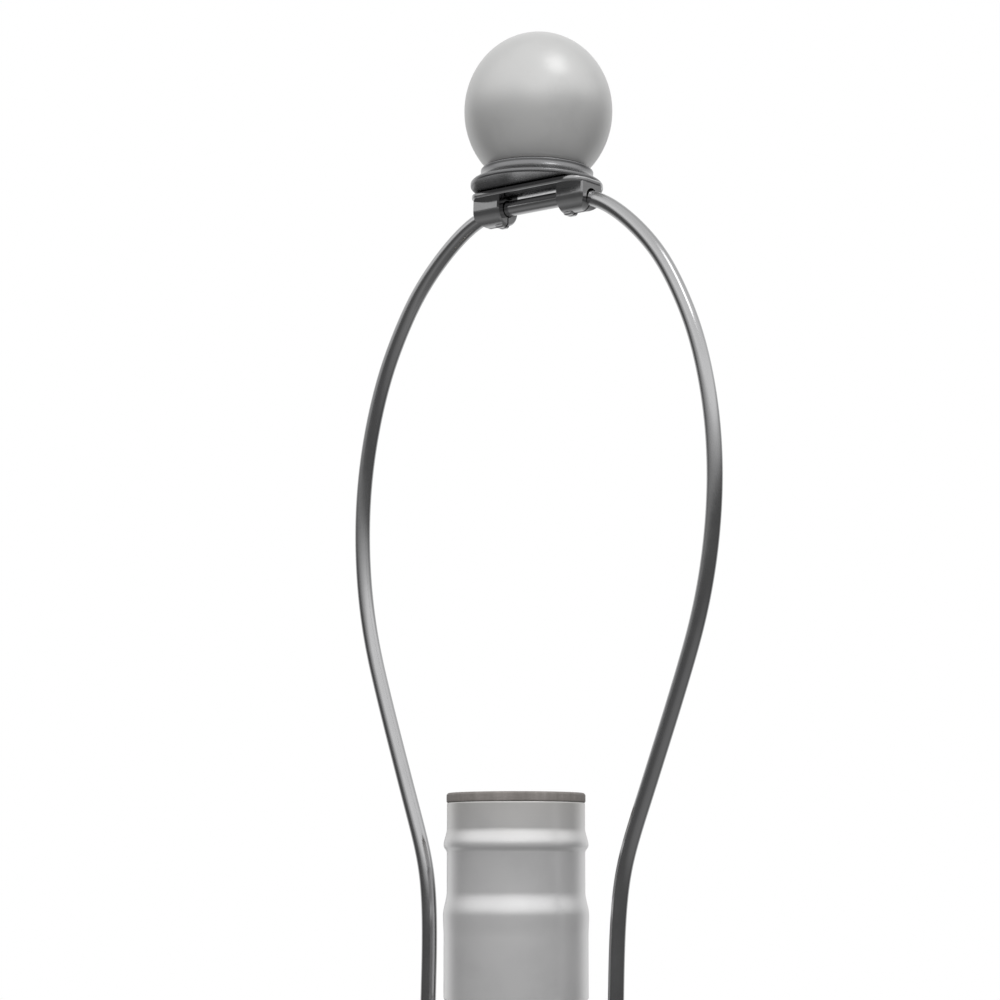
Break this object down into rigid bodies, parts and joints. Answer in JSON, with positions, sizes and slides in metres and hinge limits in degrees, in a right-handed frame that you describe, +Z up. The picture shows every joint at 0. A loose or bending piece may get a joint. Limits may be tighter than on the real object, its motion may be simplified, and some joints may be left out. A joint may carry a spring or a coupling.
{
  "type": "table lamp harp with ball finial and lamp socket",
  "caption": "Nickel table-lamp harp with a ball finial, standing in its saddle round a keyless medium-base lamp socket.",
  "frame": {"origin": "on the lamp axis, in the plane of the locknut's underside, where the lower length of the threaded nipple starts", "axes": "+Z up the lamp axis towards the finial, X from one harp leg to the other, Y across the harp; the harp leans 2 degrees towards +Y"},
  "size_m": [0.1034, 0.04, 0.2541],
  "materials": {
    "ball_nickel": "satin",
    "base_nickel": "gloss",
    "insert_brass": "satin",
    "wire_nickel": "gloss",
    "plate_nickel": "gloss",
    "stud_nickel": "satin",
    "ferrule_nickel": "gloss",
    "saddle_nickel": "gloss",
    "washer_steel": "satin",
    "nut_brass": "satin",
    "nipple_zinc": "satin",
    "cap_nickel": "satin",
    "bushing_brass": "satin",
    "set_screw_steel": "satin",
    "shell_nickel": "satin",
    "liner_fibre": "matte",
    "body_phenolic": "gloss",
    "lamp_shell_aluminium": "satin",
    "rivet_brass": "satin",
    "contact_brass": "satin",
    "terminal_brass": "satin",
    "terminal_plated": "satin",
    "screw_brass": "satin",
    "screw_plated": "satin"
  },
  "bodies": {
    "base": {"saddle": "saddle_nickel", "hex_locknut": "nut_brass", "lock_washer": "washer_steel", "nipple": "nipple_zinc", "socket_cap": "cap_nickel", "cap_bushing": "bushing_brass", "cap_set_screw": "set_screw_steel", "socket_body": "body_phenolic", "screw_shell": "lamp_shell_aluminium", "shell_rivet_front": "rivet_brass", "shell_rivet_back": "rivet_brass", "centre_contact": "contact_brass", "centre_contact_rivet": "rivet_brass", "terminal_hot": "terminal_brass", "terminal_neutral": "terminal_plated", "terminal_screw_brass": "screw_brass", "terminal_screw_silver": "screw_plated"},
    "shell": {"socket_shell": "shell_nickel", "shell_liner": "liner_fibre"},
    "harp": {"harp_wire": "wire_nickel", "harp_top_plate": "plate_nickel", "harp_stud": "stud_nickel"},
    "left_ferrule": {"ferrule_left": "ferrule_nickel"},
    "right_ferrule": {"ferrule_right": "ferrule_nickel"},
    "finial_thread": {"finial_insert": "insert_brass"},
    "finial": {"finial_ball": "ball_nickel", "finial_base": "base_nickel"}
  },
  "joints": [
    {"name": "shell_pull", "type": "slide", "parent": "base", "child": "shell", "axis": [0, 0, 1], "range_m": [0, 0.05]},
    {"name": "harp_lift", "type": "slide", "parent": "base", "child": "harp", "axis": [0, 0.0349, 0.9994], "range_m": [0, 0.03]},
    {"name": "ferrule_left_slide", "type": "slide", "parent": "harp", "child": "left_ferrule", "axis": [0, 0.0349, 0.9994], "range_m": [0, 0.012]},
    {"name": "ferrule_right_slide", "type": "slide", "parent": "harp", "child": "right_ferrule", "axis": [0, 0.0349, 0.9994], "range_m": [0, 0.012]},
    {"name": "finial_lift", "type": "slide", "parent": "harp", "child": "finial_thread", "axis": [0, 0.0349, 0.9994], "range_m": [0, 0.00942]},
    {"name": "finial_turn", "type": "hinge", "parent": "finial_thread", "child": "finial", "pos_m": [0.0006, 0.00681, 0.20288], "axis": [0, 0.0349, 0.9994], "range_deg": [0, 3600]}
  ],
  "couplings": [
    {"joint": "finial_lift", "follows": "finial_turn", "m_per_rad": 0.00014972}
  ]
}
